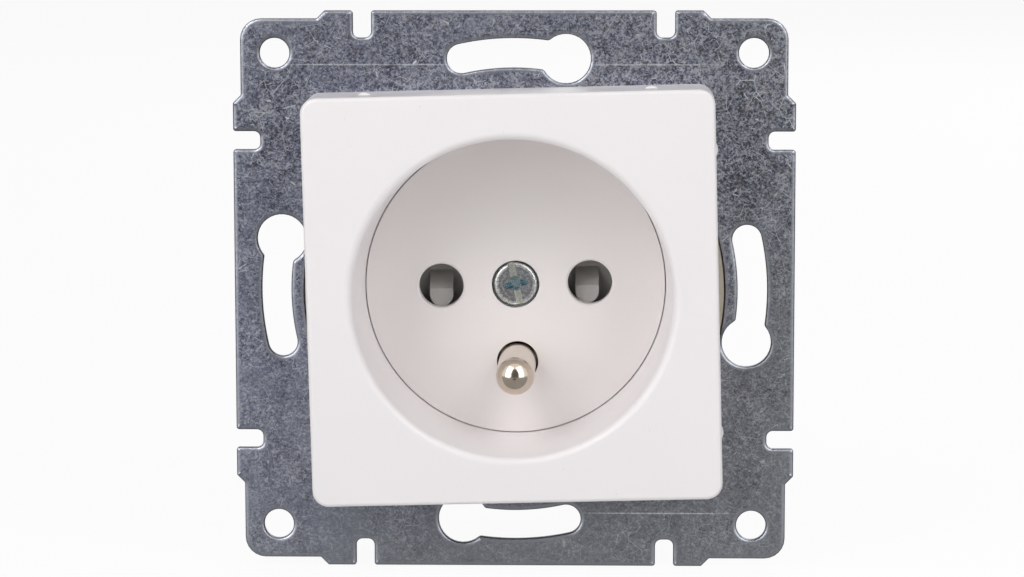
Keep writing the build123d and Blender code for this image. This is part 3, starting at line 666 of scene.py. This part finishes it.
def plated_zinc():
    """Bright zinc plating: bluish, with a yellowish haze and fine streaks in every direction."""
    made, tree, shader = finish("plated_zinc", bright_zinc, metallic=1.0, roughness=0.3)
    there = surface_point(tree)
    haze = ramp(tree, cloud(tree, there, 0.6, 3.0), 0.42, 0.68, 0.0, haze_share)
    colour = blended(tree, haze, bright_zinc, zinc_yellow)
    rubbed = cuts(tree, there, scale=2.2, width=0.03, kept=0.45, seed=7.0)
    colour = blended(tree, times(tree, rubbed, worn_streak_share), colour, zinc_worn)
    grain = cloud(tree, there, 9.0, 3.0, 0.7)
    coat(tree, shader, colour, ramp(tree, grain, 0.3, 0.7, 0.24, 0.40))
    roughen(tree, shader, maths(tree, "ADD", grain, rubbed), depth=0.006, strength=0.5)
    return made


dress(["plate_rivets", "centre_nut", "line_screw", "neutral_screw", "earth_screw",
       "line_clamp", "neutral_clamp", "earth_clamp"], plated_zinc())


# The live contacts and the earth strap are stamped from brass strip and bent. Each live contact is
# rolled into jaws for a pin, and a split steel clip round the jaws keeps their grip.
brass = (0.62, 0.43, 0.17)
brass_tarnish = (0.40, 0.24, 0.10)
tarnish_share = 0.7
steel = (0.22, 0.22, 0.23)
steel_dark = (0.17, 0.17, 0.18)
steel_pale = (0.30, 0.30, 0.31)


def rolled_brass():
    """Brass strip: fine lines along the rolling, patches of brown tarnish."""
    made, tree, shader = finish("rolled_brass", brass, metallic=1.0, roughness=0.28)
    lines = cloud(tree, surface_point(tree, (1, 0.04, 1)), 14.0, 2.0, 0.6)
    dull = ramp(tree, cloud(tree, surface_point(tree), 0.35, 4.0, 0.6), 0.45, 0.7, 0.0, tarnish_share)
    matt = ramp(tree, maths(tree, "ADD", lines, dull), 0.3, 1.3, 0.22, 0.48)
    coat(tree, shader, blended(tree, dull, brass, brass_tarnish), matt)
    roughen(tree, shader, lines, depth=0.005, strength=0.5)
    return made


def drawn_steel():
    """Spring steel as drawn or rolled: dark grey, oiled, with fine lines along it."""
    made, tree, shader = finish("drawn_steel", steel, metallic=1.0, roughness=0.26)
    lines = cloud(tree, surface_point(tree, (0.3, 0.3, 1)), 16.0, 2.0)
    colour = blended(tree, lines, steel_dark, steel_pale)
    coat(tree, shader, colour, ramp(tree, lines, 0.3, 0.7, 0.2, 0.36))
    return made


dress(["line_contact", "neutral_contact", "earth_strap"], rolled_brass())
spring_finish = drawn_steel()
dress(["contact_clips"], spring_finish)


# The earth pin is turned from brass bar and nickel plated, with a polished round tip. Its shoulder
# seats on the strap inside, and its tail is riveted over.
nickel = (0.66, 0.59, 0.51)
nickel_warm = (0.64, 0.53, 0.42)


def turned_nickel():
    """Nickel plate over turned brass: rings left by the lathe, warmer where the plating is thin."""
    made, tree, shader = finish("turned_nickel", nickel, metallic=1.0, roughness=0.14)
    rings = cloud(tree, surface_point(tree, (0.01, 1, 0.01)), 6.0, 3.0, 0.7)
    haze = cloud(tree, surface_point(tree), 0.8, 3.0)
    colour = blended(tree, ramp(tree, haze, 0.35, 0.7), nickel, nickel_warm)
    coat(tree, shader, colour, ramp(tree, maths(tree, "ADD", rings, haze), 0.7, 1.4, 0.10, 0.22))
    roughen(tree, shader, rings, depth=0.002, strength=0.5)
    return made


dress(["earth_pin"], turned_nickel())


# The shutter is one grey moulding that slides behind the pin holes. A small coil spring of steel
# wire, with its end turns closed, stands on the floor plate's hub and pushes the shutter shut.
grey = (0.48, 0.465, 0.445)
grey_dark = (0.38, 0.365, 0.345)
grey_rubbed = (0.5, 0.48, 0.46)
grey_flow_share = 0.6
grey_rubbed_share = 0.3


def moulded_grey():
    """Grey thermoplastic with a spark-eroded matt face and slight marks where the pins rub."""
    made, tree, shader = finish("moulded_grey", grey, metallic=0.0, roughness=0.45)
    there = surface_point(tree)
    flow = ramp(tree, cloud(tree, there, 0.5, 3.0), 0.35, 0.7, 0.0, grey_flow_share)
    rubbed = cuts(tree, surface_point(tree, (1, 1, 0.3)), scale=1.4, width=0.04, kept=0.5, seed=2.0)
    colour = blended(tree, flow, grey, grey_dark)
    coat(tree, shader, blended(tree, times(tree, rubbed, grey_rubbed_share), colour, grey_rubbed))
    roughen(tree, shader, cloud(tree, there, 7.0, 3.0, 0.6), depth=0.012, strength=0.5)
    return made


dress(["shutter"], moulded_grey())
wire_r = 0.18
coil_r = 1.12
closed_turns = 1.0
open_turns = 4.5
coil_steps = 340
wire_sides = 14
spring_low, spring_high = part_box("shutter_spring")


def spring_piece():
    """Round wire carried along a helix. The turn angle grows evenly. The rise follows it at the
    wire's own thickness a turn in the closed end turns, and at a greater even rate between them."""
    turns = 2 * closed_turns + open_turns
    t = np.linspace(0, turns, coil_steps)
    low = spring_low.z / mm + wire_r
    height = (spring_high.z - spring_low.z) / mm - 2 * wire_r
    dead = 2 * wire_r * closed_turns
    share = np.clip((t - closed_turns) / open_turns, 0, 1)
    ends = np.minimum(t, closed_turns) + np.maximum(t - closed_turns - open_turns, 0)
    rise = 2 * wire_r * ends + (height - 2 * dead) * share
    angle = 2 * pi * t
    path = np.column_stack([coil_r * np.cos(angle), coil_r * np.sin(angle), rise])
    along = unit(np.gradient(path, axis=0))
    out = np.column_stack([np.cos(angle), np.sin(angle), np.zeros_like(angle)])
    up = np.cross(along, out)
    round_wire = np.linspace(0, 2 * pi, wire_sides, endpoint=False)
    section = np.cos(round_wire)[None, :, None] * out[:, None, :]
    section = section + np.sin(round_wire)[None, :, None] * up[:, None, :]
    wire = (path[:, None, :] + wire_r * section).reshape(-1, 3)
    middle = (spring_low + spring_high) / 2 / mm
    x, z = turned(np.column_stack([wire[:, 0], wire[:, 2] - height / 2]), insert_twist).T
    points = np.column_stack([middle.x + x, middle.y + wire[:, 1], low + height / 2 + z]) * mm
    row, col = np.meshgrid(np.arange(coil_steps - 1), np.arange(wire_sides), indexing="ij")
    a, b = row * wire_sides + col, row * wire_sides + (col + 1) % wire_sides
    faces = np.stack([a, b, b + wire_sides, a + wire_sides], axis=2).reshape(-1, 4).tolist()
    last = (coil_steps - 1) * wire_sides
    faces += [list(range(wire_sides))[::-1], list(range(last, last + wire_sides))]
    return mesh_piece("shutter_coil_spring", points, faces)


spring = spring_piece()
spring.data.materials.append(spring_finish)
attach(spring, "housing")
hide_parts("shutter_spring")
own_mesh(spring)


# The cover and the dish's floor are moulded in white polycarbonate, satin on the face. The cover
# drops over the base's boss, and the floor plate clamps it there by the centre screw.
white_cool = (0.868, 0.836, 0.844)
white_warm = (0.868, 0.826, 0.816)
flow_shade = 0.975
white_flow_share = 0.35
speck_colour = (0.42, 0.40, 0.38)
speck_scale = 0.62
speck_share = 0.6


def moulded_white(name, plain):
    """White plastic: a very fine grain, slight flow clouds, and a few specks of dust and swarf."""
    made, tree, shader = finish(name, plain, metallic=0.0, roughness=0.34)
    there = surface_point(tree)
    flow = ramp(tree, cloud(tree, there, 0.07, 3.0), 0.35, 0.65)
    shaded = [flow_shade * c for c in plain]
    colour = blended(tree, times(tree, flow, white_flow_share), plain, shaded)
    dot = step(tree, "TexVoronoi", {"Vector": there, "Scale": speck_scale}, "Distance")
    rare = grains(tree, there, speck_scale, "Blue")
    speck = times(tree, ramp(tree, dot, 0.05, 0.025), ramp(tree, rare, 0.80, 0.84), speck_share)
    colour = blended(tree, speck, colour, speck_colour)
    coat(tree, shader, colour, ramp(tree, cloud(tree, there, 0.5, 3.0), 0.3, 0.7, 0.30, 0.40))
    roughen(tree, shader, cloud(tree, there, 5.0, 2.0), depth=0.003, strength=0.6)
    return made


dress(["cover_frame"], moulded_white("cover_white", white_cool))
dress(["floor_plate"], moulded_white("dish_white", white_warm))


# The centre screw draws the floor plate and the cover onto the base. Its steel head has a slot
# and a cross, and a painted highlight round its rim.
head_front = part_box("centre_screw")[0].y / mm
head_steel = (0.36, 0.345, 0.365)
rim_highlight_steel = (0.90, 0.90, 0.88)
slot_steel = (0.90, 0.90, 0.80)
cross_steel = (0.38, 0.52, 0.56)
slot_half = 0.42
slot_lean = radians(12)
# Between the first and the second radius the rim's painted highlight comes up, and the cross gives
# way to the slot. Between the two depths the worn face gives way to the recess.
rim_from_r, rim_full_r = 2.12, 2.3
cross_to_r, slot_from_r = 0.85, 1.05
face_to_depth, recess_from_depth = 0.12, 0.3


def worn_screw_head():
    """Zinc plating rubbed through on the head: dark turned rings on its face, a painted highlight
    on the rim, a pale slot and a bluish cross, with fine streaks all over."""
    made, tree, shader = finish("worn_screw_head", head_steel, metallic=1.0, roughness=0.3)
    there = surface_point(tree)
    sideways = step(tree, "VectorMath", {0: there, 1: (1.0, 0.0, 1.0)}, operation="MULTIPLY")
    radius = step(tree, "VectorMath", {0: sideways}, "Value", operation="LENGTH")
    depth = maths(tree, "SUBTRACT", axis_of(tree, there, "Y"), head_front)
    rings = cloud(tree, step(tree, "CombineXYZ", {"X": radius}), 5.0, 2.0)
    streaks = cloud(tree, there, 4.0, 4.0, 0.7)
    turned_tone = ramp(tree, maths(tree, "ADD", rings, streaks), 0.92, 1.2)
    colour = blended(tree, turned_tone, head_steel, bright_zinc)
    # Painted highlight: a near-white ring round the head's rounded rim, broken up by the streaks.
    rim = ramp(tree, radius, rim_from_r, rim_full_r)
    rim = times(tree, rim, ramp(tree, streaks, 0.35, 0.6, 0.4, 1.0))
    colour = blended(tree, rim, colour, rim_highlight_steel)
    sunk = ramp(tree, depth, face_to_depth, recess_from_depth)
    sunk = times(tree, sunk, ramp(tree, streaks, 0.4, 0.62, 0.75, 1.0))
    across_slot = (cos(slot_lean), 0.0, sin(slot_lean))
    off_slot = step(tree, "VectorMath", {0: there, 1: across_slot}, "Value", operation="DOT_PRODUCT")
    in_slot = ramp(tree, maths(tree, "ABSOLUTE", off_slot), slot_half, slot_half + 0.06, 1.0, 0.0)
    outer_slot = times(tree, in_slot, ramp(tree, radius, cross_to_r, slot_from_r))
    recess = blended(tree, outer_slot, cross_steel, slot_steel)
    colour = blended(tree, sunk, colour, recess)
    coat(tree, shader, colour, ramp(tree, streaks, 0.3, 0.7, 0.18, 0.42))
    roughen(tree, shader, maths(tree, "ADD", streaks, rings), depth=0.03, strength=0.8)
    return made


dress(["centre_screw"], worn_screw_head())


# The picture keeps the colours as the studio gives them
bpy.context.scene.view_settings.view_transform = "Standard"
